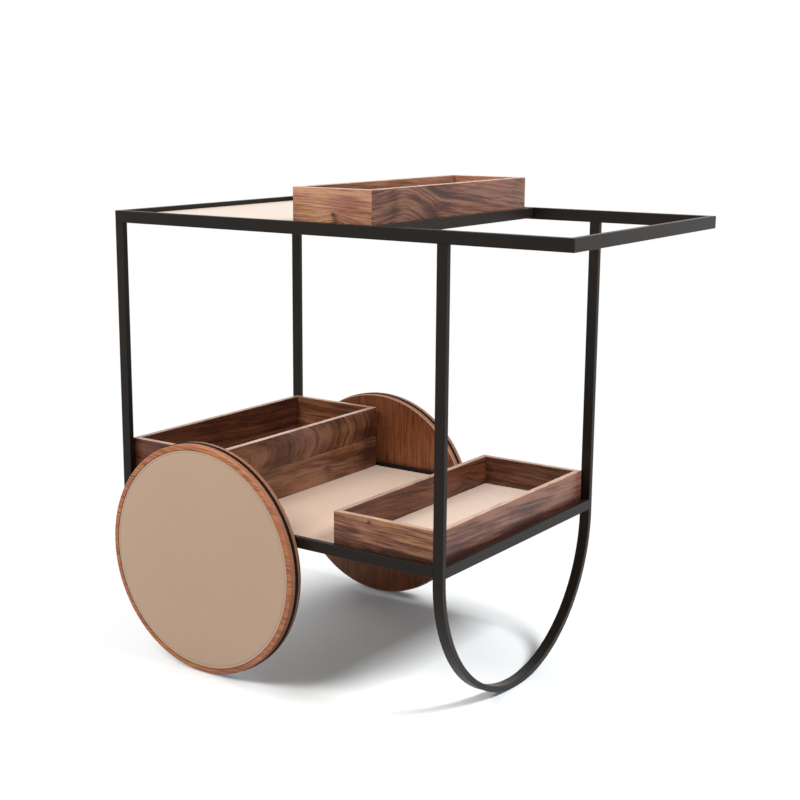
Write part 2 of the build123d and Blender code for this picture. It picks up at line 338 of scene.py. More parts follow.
@dataclass(frozen=True)
class Mark:
    """A feature in the wood, as a bell-shaped spot on a board's face.

    Its place is measured along and across the face from the board's middle. It shades the wood, darker
    above 0 and lighter below, and pushes the grain lines up or down. One that follows is bent with the lines.
    """

    along: float
    across: float
    length: float
    width: float
    shade: float = 0.0
    push: float = 0.0
    follows: bool = False

    def bell(self, along: Signal, aside: Signal) -> Signal:
        """A bell: the exponent of minus the squared distance from the mark, in its lengths and widths."""
        right, up = (along - self.along) / self.length, aside / self.width
        return along.recipe.maths("EXPONENT", (right * right + up * up) * -1.0)


@dataclass(frozen=True)
class Tone:
    """Colours of one piece of walnut, from the palest early wood to the dark heartwood streaks."""

    pale: Colour
    middle: Colour
    dark: Colour
    streak: Colour

    def stops(self, light: float) -> list[tuple[float, Colour]]:
        """Ramp stops of the four colours, each made lighter or darker by a factor."""
        places = zip((0.0, 0.4, 0.72, 1.0), (self.pale, self.middle, self.dark, self.streak))
        return [(place, tuple(part * light for part in colour)) for place, colour in places]


# Walnut palettes. Which palette and light factor a board gets is partly its own colour and partly painted
# light and shade, set to how brightly each face is lit; PLUM's cool cast stands in for the cool lamp on the
# front faces.
WARM = Tone((0.54, 0.285, 0.15), (0.335, 0.142, 0.076), (0.18, 0.068, 0.036), (0.07, 0.028, 0.018))
TAN = Tone((0.53, 0.302, 0.175), (0.328, 0.152, 0.09), (0.178, 0.074, 0.043), (0.07, 0.03, 0.021))
PLUM = Tone((0.31, 0.148, 0.1), (0.195, 0.082, 0.052), (0.112, 0.044, 0.029), (0.06, 0.024, 0.017))
UMBER = Tone((0.3, 0.143, 0.078), (0.19, 0.078, 0.042), (0.108, 0.041, 0.022), (0.052, 0.021, 0.012))
MAROON = Tone((0.3, 0.118, 0.058), (0.19, 0.064, 0.031), (0.108, 0.033, 0.016), (0.052, 0.017, 0.009))
RUST = Tone((0.5, 0.205, 0.09), (0.37, 0.142, 0.06), (0.24, 0.086, 0.038), (0.11, 0.038, 0.02))
GOLDEN_CAST = (1.05, 1.02, 0.84)
PURPLE_CAST = (1.0, 0.88, 1.0)
# Pale top edge of a board: partly wear, partly a painted highlight where the top face catches light
WORN_AND_HIGHLIT_EDGE = (0.51, 0.305, 0.22)
RIM_WOOD = (0.265, 0.115, 0.064)
# Painted highlight on a wheel disc's bevel
BEVEL_HIGHLIGHT = (0.56, 0.4, 0.29)
# Painted shadow in the gap round the wheel leather
GAP_SHADOW = (0.06, 0.026, 0.015)

# Rates of the noises in walnut along the grain, across it and through the board
WAVE_RATES = (4.5, 10.0, 10.0)
RIPPLE_RATES = (15.0, 55.0, 55.0)
VEIN_RATES = (8.0, 200.0, 12.0)
FIBRE_RATES = (19.0, 430.0, 40.0)
PORE_RATES = (110.0, 2100.0, 2100.0)
CLOUD_RATES = (9.0, 22.0, 22.0)
HUE_RATES = (11.0, 30.0, 30.0)

# How far the wave and the ripple bend the rings, as shares of a board's wander
WAVE_REACH = 2.0
RIPPLE_REACH = 0.5

# Bands and lines in each growth ring, and how a board's seed moves each pattern
BANDS_PER_RING = 0.3
LINES_PER_RING = 1.6
BAND_SEED = 3.1
LINE_SEED = 5.3
CLOUD_SEED = 1.7

# Where a noise starts and stops to count as a line, a pore, a purple cast or a dark fibre
LINE_RANGE = (0.54, 0.72)
PORE_RANGE = (0.6, 0.72)
PURPLE_RANGE = (0.32, 0.68)
DARK_FIBRE_RANGE = (0.42, 0.7)

# Depth of plain wood on the ramp from pale to streak, and what each feature adds
PLAIN_DEPTH = 0.35
BAND_DEPTH = 1.1
LINE_DEPTH = 0.22
VEIN_DEPTH = 1.1
FIBRE_DEPTH = 1.2
PORE_DEPTH = 0.2


@dataclass(frozen=True)
class DiscEdge:
    """The edge of a wheel disc: wood darker towards the rim, a pale bevel that is a painted highlight, and a
    painted shadow in the gap round the leather.

    The bevel lies between two smooth steps, given as distances from the rim.
    """

    rim: float
    let_in: float = 0.0
    bevel: float = 0.0
    rim_dark_width: float = 0.0018
    rim_dark_tone: float = 0.75
    rim_dark_gloss: float = 0.25
    bevel_inside: Pair = (0.0017, 0.0013)
    bevel_outside: Pair = (0.0004, 0.0001)
    gap_shadow_range: Pair = (0.0002, 0.0012)
    gap_shadow_tone: float = 0.7

    def paint(self, out: Signal, colour: Signal, rough: Signal) -> tuple[Signal, Signal]:
        """Lays the edge over plain wood.

        Args:
            out: Distance from the disc's middle.
            colour: The wood's colour.
            rough: The wood's roughness.

        Returns:
            The colour and the roughness with the edge.
        """
        recipe = out.recipe
        # The wood turns darker towards the rim
        rim_dark = recipe.smooth(out, self.rim - self.rim_dark_width, self.rim)
        colour = recipe.mix(rim_dark * self.rim_dark_tone, colour, RIM_WOOD)
        # The pale bevel is a painted highlight
        steps = (self.bevel_inside, self.bevel_outside)
        rise, fall = (recipe.smooth(out, self.rim - start, self.rim - stop) for start, stop in steps)
        colour = recipe.mix((rise - fall) * self.bevel, colour, BEVEL_HIGHLIGHT)
        # A painted shadow in the gap round the leather
        gap_shadow = 1.0 - recipe.smooth(out - self.let_in, *self.gap_shadow_range)
        return recipe.mix(gap_shadow * self.gap_shadow_tone, colour, GAP_SHADOW), rough + rim_dark * self.rim_dark_gloss


@dataclass(frozen=True)
class Walnut(Finish):
    """One walnut board, as a slice of a log.

    The growth rings are cylinders about the log's heart, which lies some way off the face and drifts along
    the board, so the face cuts them into straight lines, waves and arches. Noise and marks bend the rings.
    Each ring takes its shade from noise that depends on its number alone, so bands follow the figure.
    """

    grain: Grain
    tone: Tone
    seed: float
    name: str = ""
    middle: Point = (0.0, 0.0, 0.0)
    # Lightness factor: partly the board's own tone, partly painted light and shade for how brightly its face
    # is lit
    light: float = 1.0
    heart: Pair = (0.4, 0.15)
    drift: Pair = (0.03, 0.05)
    face: float = 0.005
    ring: float = 0.004
    wander: float = 0.01
    bands: float = 1.0
    lines: float = 1.0
    clouds: float = 1.0
    veins: float = 1.0
    fibres: float = 1.0
    half: float = 0.0
    wear_and_highlight: float = 0.0
    crown: Pair = (0.0013, 0.0003)
    disc: Optional[DiscEdge] = None
    marks: tuple[Mark, ...] = ()
    roughness: float = 0.27
    pore_gloss: float = 0.2
    fibre_gloss: float = 0.16
    specular: float = 0.3
    fibre_height: float = 0.4
    pore_height: float = 0.8
    bump: Pair = (0.2, 0.0003)

    def radius_at(self, along: float, across: float) -> float:
        """Distance from the heart of a place on the board's face, leaving out the noise.

        Args:
            along: Where the place lies along the grain, from the board's middle.
            across: Where it lies across the grain.

        Returns:
            The distance, with the push of each mark.
        """
        aside = across - self.heart[0] + along * self.drift[0]
        behind = self.face - self.heart[1] + along * self.drift[1]
        radius = math.hypot(aside, behind)
        for mark in self.marks:
            right = (along - mark.along) / mark.length
            up = (across - mark.across) / mark.width
            radius += mark.push * math.exp(-(right**2 + up**2))
        return radius

    def radius(self, spot: Spot) -> Signal:
        """Distance from the heart by Pythagoras, bent by noise and by the marks' bells.

        Args:
            spot: Distances along, across and through the board from its middle.

        Returns:
            The distance.
        """
        along, across, through = spot
        recipe = along.recipe
        wave = recipe.streaks(spot, WAVE_RATES, (self.seed, 0.0))
        ripple = recipe.streaks(spot, RIPPLE_RATES, (0.0, self.seed), detail=3.0)
        aside = across - self.heart[0] + along * self.drift[0] + wave.sway(WAVE_REACH * self.wander)
        behind = through - self.heart[1] + along * self.drift[1]
        straight = recipe.maths("SQRT", aside * aside + behind * behind)
        radius = straight + ripple.sway(RIPPLE_REACH * self.wander)
        for mark in self.marks:
            if mark.push:
                radius = radius + mark.bell(along, across - mark.across) * mark.push
        return radius

    def shade(self, spot: Spot, radius: Signal) -> Number:
        """Sum of the marks' shades; a mark that follows the grain is measured across the rings.

        Args:
            spot: Distances along, across and through the board from its middle.
            radius: Distance from the heart.

        Returns:
            What the marks add to the depth of the tone.
        """
        along, across, _ = spot
        total: Number = 0.0
        for mark in self.marks:
            if mark.shade:
                start = self.radius_at(mark.along, mark.across)
                aside = radius - start if mark.follows else across - mark.across
                total = mark.bell(along, aside) * mark.shade + total
        return total

    def paint(self, recipe: Recipe) -> dict[str, Any]:
        """A ring's number is its distance from the heart over the ring width; the depth sums all features.

        Args:
            recipe: The material's tree.

        Returns:
            What goes into the shader's sockets.
        """
        parts = recipe.split(recipe.place())
        spot = tuple(parts[axis] - self.middle[axis] for axis in self.grain.value)
        along, across, through = spot
        radius = self.radius(spot)
        shade = self.shade(spot, radius)
        count = radius / self.ring
        band = recipe.noise_line(count * BANDS_PER_RING + self.seed * BAND_SEED, detail=2.0)
        stripe = recipe.noise_line(count * LINES_PER_RING + self.seed * LINE_SEED, detail=2.0, rough=0.6)
        line = recipe.smooth(stripe, *LINE_RANGE)
        on_ring = (along, radius, through)
        vein = recipe.streaks(on_ring, VEIN_RATES, (self.seed, 0.0), rough=0.6)
        fibre = recipe.streaks(on_ring, FIBRE_RATES, (self.seed, 0.0), detail=3.0, rough=0.62)
        pore = recipe.smooth(recipe.streaks(spot, PORE_RATES, (0.0, self.seed), detail=1.0), *PORE_RANGE)
        cloud = recipe.streaks(spot, CLOUD_RATES, (self.seed * CLOUD_SEED, 0.0), detail=3.0)
        hue = recipe.streaks(spot, HUE_RATES, (0.0, -self.seed))
        depth = band.sway(BAND_DEPTH * self.bands) + line * (LINE_DEPTH * self.lines)
        depth = depth + cloud.sway(self.clouds) + vein.sway(VEIN_DEPTH * self.veins)
        depth = depth + fibre.sway(FIBRE_DEPTH * self.fibres) + pore * PORE_DEPTH + shade + PLAIN_DEPTH
        cast = recipe.mix(recipe.smooth(hue, *PURPLE_RANGE), GOLDEN_CAST, PURPLE_CAST)
        colour = recipe.mix(1.0, recipe.ramp(depth, self.tone.stops(self.light)), cast, "MULTIPLY")
        rough = self.roughness + pore * self.pore_gloss + fibre.sway(self.fibre_gloss)
        # A pale band along the top edge: partly wear, partly a painted highlight where the top face catches
        # light
        if self.wear_and_highlight:
            start, stop = self.crown
            crown = recipe.smooth(across, self.half - start, self.half - stop)
            dark = (pore + recipe.smooth(fibre, *DARK_FIBRE_RANGE)) / 2.0
            colour = recipe.mix(crown * self.wear_and_highlight * (1.0 - dark), colour, WORN_AND_HIGHLIT_EDGE)
        # The disc edge: darker wood at the rim, a painted highlight on the bevel and a painted shadow in the
        # gap round the leather
        if self.disc:
            out = recipe.maths("SQRT", along * along + across * across)
            colour, rough = self.disc.paint(out, colour, rough)
        return {
            "Base Color": colour,
            "Roughness": rough,
            "Specular IOR Level": self.specular,
            "Normal": recipe.bump(fibre * self.fibre_height - pore * self.pore_height, *self.bump),
        }


@dataclass(frozen=True)
class TwoTone(Finish):
    """A finish in two tones: clouds and a finer grain mix its colours and vary its gloss.

    A rate is how many clouds of a noise lie in a metre along X, Y and Z. Specks are peaks of a third noise.
    """

    name: str
    first: Colour
    second: Colour
    cloud_rates: Point
    grain_rates: Point
    roughness: float
    bump: Pair
    cloud_detail: float = 3.0
    cloud_rough: float = 0.5
    grain_detail: float = 2.0
    plain_tone: float = 0.0
    cloud_tone: float = 0.0
    grain_tone: float = 0.0
    cloud_gloss: float = 0.0
    grain_gloss: float = 0.0
    speck_rate: float = 0.0
    speck_range: Pair = (0.62, 0.75)
    speck_tone: float = 0.5
    specular: float = 0.5
    metallic: float = 0.0

    def paint(self, recipe: Recipe) -> dict[str, Any]:
        """The tone is a weighted sum of the noises, and the gloss sways with them about its mean.

        Args:
            recipe: The material's tree.

        Returns:
            What goes into the shader's sockets.
        """
        parts = recipe.split(recipe.place())
        cloud = recipe.streaks(parts, self.cloud_rates, detail=self.cloud_detail, rough=self.cloud_rough)
        grain = recipe.streaks(parts, self.grain_rates, detail=self.grain_detail)
        tone = cloud * self.cloud_tone + grain * self.grain_tone + self.plain_tone
        if self.speck_rate:
            fine = recipe.noise(recipe.place(), self.speck_rate, detail=1.0)
            tone = tone + recipe.smooth(fine, *self.speck_range) * self.speck_tone
        return {
            "Base Color": recipe.mix(tone, self.first, self.second),
            "Metallic": self.metallic,
            "Roughness": self.roughness + cloud.sway(self.cloud_gloss) + grain.sway(self.grain_gloss),
            "Specular IOR Level": self.specular,
            "Normal": recipe.bump(grain, *self.bump),
        }


# Black satin powder coat: a fine orange-peel skin with faint cloudy tone
POWDER_COAT = TwoTone(
    "powder_coat", (0.0092, 0.0066, 0.0047), (0.0164, 0.0119, 0.0086), (16.0, 16.0, 16.0),
    (900.0, 900.0, 900.0), roughness=0.38, bump=(0.12, 0.0003), cloud_tone=0.7, cloud_gloss=0.12,
    grain_gloss=0.1, speck_rate=2600.0, specular=0.16,
)

# Matt black tyre rubber with a dusty, finely pitted skin
RUBBER = TwoTone(
    "tyre_rubber", (0.003, 0.0028, 0.0026), (0.009, 0.0085, 0.008), (34.0, 34.0, 34.0),
    (1400.0, 1400.0, 1400.0), roughness=0.62, bump=(0.2, 0.0003), cloud_tone=0.6, grain_tone=0.25,
    cloud_gloss=0.2, grain_gloss=0.1, specular=0.05,
)

# Zinc plated steel, turned on a lathe, with fine rings about Y and a cloudy plating
PLATED_STEEL = TwoTone(
    "plated_steel", (0.56, 0.57, 0.58), (0.36, 0.36, 0.37), (120.0, 120.0, 120.0), (40.0, 2400.0, 40.0),
    roughness=0.35, bump=(0.1, 0.0002), cloud_tone=0.8, cloud_gloss=0.1, grain_gloss=0.12, metallic=1.0,
)

# Natural nylon: milky, slightly mottled, with a faint moulded texture
NYLON = TwoTone(
    "nylon", (0.6, 0.59, 0.55), (0.48, 0.45, 0.38), (200.0, 200.0, 200.0), (1800.0, 1800.0, 1800.0),
    roughness=0.49, bump=(0.08, 0.0002), grain_detail=1.0, cloud_tone=1.0, grain_gloss=0.14,
)

# Birch plywood veneer: pale, with a soft wide figure and short pores along X
PLYWOOD = TwoTone(
    "plywood", (0.56, 0.4, 0.25), (0.38, 0.24, 0.135), (3.0, 22.0, 22.0), (22.0, 700.0, 1500.0),
    roughness=0.58, bump=(0.15, 0.0003), cloud_detail=4.0, cloud_rough=0.6, plain_tone=-0.55, cloud_tone=1.3,
    grain_tone=0.55, grain_gloss=0.2,
)


def dress(node: str, material: bpy.types.Material) -> None:
    """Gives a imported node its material.

    Args:
        node: The node's name.
        material: What it gets in its only slot.
    """
    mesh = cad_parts[node].data
    mesh.materials.clear()
    mesh.materials.append(material)
    log.info("dressed %s with %s", node, material.name)


def middle_of(node: str) -> Point:
    """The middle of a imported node's box."""
    low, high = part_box(node)
    return tuple((low + high) / 2)


def mesh_object(
    name: str, points: np.ndarray, faces: list[np.ndarray], edge: np.ndarray
) -> bpy.types.Object:
    """Makes a closed mesh object at the origin, with smooth faces and sharp corners.

    Args:
        name: The piece's name.
        points: Vertex places, one row each.
        faces: Arrays of vertex numbers, one row for each face.
        edge: For each vertex, how far it lies from the edge of the skin.

    Returns:
        The object, linked to the scene.
    """
    mesh = bpy.data.meshes.new(name)
    rows = [row for group in faces for row in group.tolist()]
    mesh.from_pydata(points.tolist(), [], rows)
    attribute = mesh.attributes.new(EDGE_ATTRIBUTE, "FLOAT", "POINT")
    attribute.data.foreach_set("value", edge.astype(np.float32))
    work = bmesh.new()
    work.from_mesh(mesh)
    bmesh.ops.recalc_face_normals(work, faces=work.faces)
    work.to_mesh(mesh)
    work.free()
    mesh.polygons.foreach_set("use_smooth", np.ones(len(mesh.polygons), bool))
    mesh.set_sharp_from_angle(angle=SHARP_ANGLE)
    made = bpy.data.objects.new(name, mesh)
    bpy.context.scene.collection.objects.link(made)
    return made


def grid_quads(numbers: np.ndarray) -> np.ndarray:
    """Quads between neighbouring rows and columns of a grid of vertex numbers."""
    corners = (numbers[:-1, :-1], numbers[:-1, 1:], numbers[1:, 1:], numbers[1:, :-1])
    return np.stack([corner.ravel() for corner in corners], axis=1)


class Held(Enum):
    """How a skin is held in its place."""

    LAID = "laid"
    STRETCHED = "stretched"


@dataclass
class LeatherSkin:
    """A leather skin in the place of its plain solid: rolled edge, pressed line, flat field."""

    node: str
    body: str
    rests_on: str
    held: Held = Held.LAID
    roll: float = 0.0006
    crease_half: float = 0.0009
    crease_reach: float = 0.00225
    crease_depth: float = 0.0004
    roll_steps: int = 5
    crease_steps: int = 8
    step: float = 0.012

    def edge_stops(self) -> np.ndarray:
        """Distances from the edge at which the skin needs points, on the roll and over the pressed line.

        Returns:
            The distances, from 0 inwards.
        """
        turn = np.linspace(0.0, math.pi / 2, self.roll_steps + 1)
        roll = self.roll * (1.0 - np.cos(turn))
        ends = (CREASE_INSET - self.crease_reach, CREASE_INSET + self.crease_reach)
        line = np.linspace(*ends, self.crease_steps + 1)
        return np.concatenate([roll, line])

    def drop(self, edge: np.ndarray) -> np.ndarray:
        """How far the skin lies below its full height.

        The rolled edge is a quarter circle, and the pressed line a bell curve about its inset.

        Args:
            edge: Distances from the edge.

        Returns:
            Depths, the same shape.
        """
        inside = np.clip(self.roll - edge, 0.0, self.roll)
        rolled = self.roll - np.sqrt(self.roll**2 - inside**2)
        pressed = self.crease_depth * np.exp(-(((edge - CREASE_INSET) / self.crease_half) ** 2))
        return rolled + pressed

    def finish(
        self, made: bpy.types.Object, material: bpy.types.Material, flat: Pair, area: float
    ) -> None:
        """Args:
            made: The skin.
            material: Its leather.
            flat: The size that it was cut to; not used.
            area: The area of the cut; not used.
        """
        made.data.materials.append(material)
        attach(made, self.body)
        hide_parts(self.node)
        log.info("built %s in place of %s", made.name, self.node)


@dataclass
class PanelSkin(LeatherSkin):
    """A rectangular skin that lies on a board."""

    def stops_between(self, low: float, high: float) -> np.ndarray:
        """Grid lines from one edge to the other, close together near both edges.

        Args:
            low: Where the skin starts.
            high: Where it ends.

        Returns:
            Places in rising order.
        """
        near = self.edge_stops()
        count = max(2, round((high - low - 2 * near[-1]) / self.step))
        field = np.linspace(low + near[-1], high - near[-1], count + 1)[1:-1]
        return np.concatenate([low + near, field, (high - near)[::-1]])

    def build(self, material: bpy.types.Material) -> None:
        """Height over a grid in X and Y is the full height less the drop at the nearest edge.

        Args:
            material: The leather.
        """
        low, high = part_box(self.node)
        lines = (self.stops_between(low.x, high.x), self.stops_between(low.y, high.y))
        x, y = np.meshgrid(*lines, indexing="ij")
        edge = np.minimum.reduce([x - low.x, high.x - x, y - low.y, high.y - y])
        top = np.stack([x, y, high.z - self.drop(edge)], axis=-1)
        under = np.stack([x, y, np.full_like(x, low.z)], axis=-1)
        points = np.concatenate([top.reshape(-1, 3), under.reshape(-1, 3)])
        upper = np.arange(x.size).reshape(x.shape)
        lower = upper + x.size
        wall = np.stack([self.border(upper), self.border(lower)])
        faces = [grid_quads(upper), grid_quads(lower), grid_quads(wall)]
        distance = np.concatenate([edge.ravel(), np.zeros(x.size)])
        made = mesh_object(self.node + "_skin", points, faces, distance)
        flat = (high.x - low.x, high.y - low.y)
        self.finish(made, material, flat, flat[0] * flat[1])

    @staticmethod
    def border(grid: np.ndarray) -> np.ndarray:
        """Vertex numbers once round the edge of a grid, ending where they start."""
        return np.concatenate([grid[0, :-1], grid[:-1, -1], grid[-1, :0:-1], grid[:0:-1, 0], grid[0, :1]])


@dataclass
class DiscSkin(LeatherSkin):
    """A round skin let into the face of a wheel."""

    outward: float = -1.0
    spokes: int = 256

    def build(self, material: bpy.types.Material) -> None:
        """A profile of radius and depth is carried round the wheel's axis, which is along Y.

        Args:
            material: The leather.
        """
        low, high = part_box(self.node)
        centre = (low + high) / 2
        radius = (high.x - low.x) / 2
        front, back = (low.y, high.y) if self.outward < 0 else (high.y, low.y)
        near = self.edge_stops()
        count = round((radius - near[-1]) / self.step)
        field = np.linspace(0.0, radius - near[-1], count + 1)[1:-1]
        front_reach = np.concatenate([field, (radius - near)[::-1]])
        front_depth = front - self.outward * self.drop(radius - front_reach)
        reach = np.append(front_reach, radius)
        depth = np.append(front_depth, back)
        turn = np.linspace(0.0, 2 * math.pi, self.spokes, endpoint=False)
        x = centre.x + np.outer(reach, np.cos(turn))
        z = centre.z + np.outer(reach, np.sin(turn))
        y = np.repeat(depth[:, None], self.spokes, axis=1)
        poles = np.array([[centre.x, front, centre.z], [centre.x, back, centre.z]])
        points = np.concatenate([np.stack([x, y, z], axis=-1).reshape(-1, 3), poles])
        numbers = np.arange(x.size).reshape(x.shape)
        closed = np.concatenate([numbers, numbers[:, :1]], axis=1)
        first, last = closed[0], closed[-1]
        front_fan = np.stack([np.full(self.spokes, x.size), first[1:], first[:-1]], axis=1)
        back_fan = np.stack([np.full(self.spokes, x.size + 1), last[:-1], last[1:]], axis=1)
        ring_edge = np.append(radius - front_reach, 0.0)
        distance = np.concatenate([np.repeat(ring_edge, self.spokes), [radius, 0.0]])
        made = mesh_object(self.node + "_skin", points, [grid_quads(closed), front_fan, back_fan], distance)
        self.finish(made, material, (2 * radius, 2 * radius), math.pi * radius**2)


@dataclass
class SteelFrame:
    """The welded frame, its brackets, axle and small hardware."""

    black: tuple[str, ...] = (
        "top_near_rail", "top_far_rail", "top_rear_rail", "handle_rail", "top_crossbar",
        "rear_leg_near", "rear_leg_far", "front_leg_near", "front_leg_far", "front_hoop",
        "lower_near_rail", "lower_far_rail", "lower_rear_rail", "lower_front_rail",
        "panel_tabs", "near_axle_bracket", "far_axle_bracket",
    )
    plated: tuple[str, ...] = (
        "panel_screws", "axle", "axle_collars", "collar_grub_screws", "end_washers", "retaining_rings",
    )
    washers: str = "thrust_washers"

    def build(self) -> None:
        """Dresses the bars, the axle and the fasteners."""
        coat = POWDER_COAT.material()
        plate = PLATED_STEEL.material()
        for node in self.black:
            dress(node, coat)
        for node in self.plated:
            dress(node, plate)
        dress(self.washers, NYLON.material())


@dataclass
class Shelf:
    """A board in the frame with its leather cover."""

    name: str

    def build(self, leather: bpy.types.Material, veneer: bpy.types.Material) -> None:
        """Dresses the board and lays the cover on it.

        Args:
            leather: For the cover.
            veneer: For the board.
        """
        board = self.name + "_board"
        dress(board, veneer)
        PanelSkin(self.name + "_leather", "frame", board).build(leather)


class Side(Enum):
    """The two wheels' sides of the trolley, with the direction along Y that faces outwards."""

    NEAR = ("near", -1.0)
    FAR = ("far", 1.0)


@dataclass
class Wheel:
    """A disc wheel: two walnut discs round a tyre, with leather let into the outer one."""

    side: Side
    seed: float
    # The two discs are the same walnut; their light factors are painted light and shade for how brightly each
    # side is lit
    outer_painted_light: float = 1.28
    inner_painted_light: float = 0.8
    inner_bevel_highlight: float = 0.75

    def build(
        self, leather: bpy.types.Material, rubber: bpy.types.Material, plate: bpy.types.Material
    ) -> None:
        """Dresses the discs, tyre and hub and sets the leather in.

        Args:
            leather: For the face.
            rubber: For the tyre.
            plate: For the hub and its screws.
        """
        side, outward = self.side.value
        body = side + "_wheel"
        outer, inner = body + "_outer_disc", body + "_inner_disc"
        rim = self.radius_of(outer)
        faced = DiscEdge(rim, let_in=self.radius_of(body + "_leather"))
        plain = DiscEdge(rim, bevel=self.inner_bevel_highlight)
        discs = (
            (outer, Grain.WALL_ALONG_X, self.seed, self.outer_painted_light, faced),
            (inner, Grain.DISC_UPRIGHT, self.seed + 1.0, self.inner_painted_light, plain),
        )
        for node, grain, seed, light, edge in discs:
            wood = Walnut(
                grain, RUST, seed, node, middle_of(node), light, heart=(0.5, 0.2), drift=(0.02, 0.01),
                ring=0.005, wander=0.004, bands=0.4, lines=0.5, clouds=0.45, veins=0.6, fibres=2.1, disc=edge,
            )
            dress(node, wood.material())
        dress(body + "_tyre", rubber)
        dress(body + "_hub", plate)
        dress(body + "_hub_screws", plate)
        DiscSkin(body + "_leather", body, outer, Held.STRETCHED, outward=outward).build(leather)

    @staticmethod
    def radius_of(node: str) -> float:
        """Half the width of a round node along X."""
        low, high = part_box(node)
        return (high.x - low.x) / 2


@dataclass
class Tray:
    """A loose walnut tray, each board with its own cut of the log."""

    name: str
    boards: dict[str, Walnut]
    lined: bool

    def build(self, leather: bpy.types.Material) -> None:
        """Dresses each board and lays the lining.

        Args:
            leather: For the lining.
        """
        for part, cut in self.boards.items():
            node = self.name + "_" + part
            low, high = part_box(node)
            across = cut.grain.value[1]
            half = (high[across] - low[across]) / 2
            board = replace(cut, name=node, middle=middle_of(node), half=half)
            dress(node, board.material())
        if self.lined:
            PanelSkin(self.name + "_lining", self.name, self.name + "_base").build(leather)


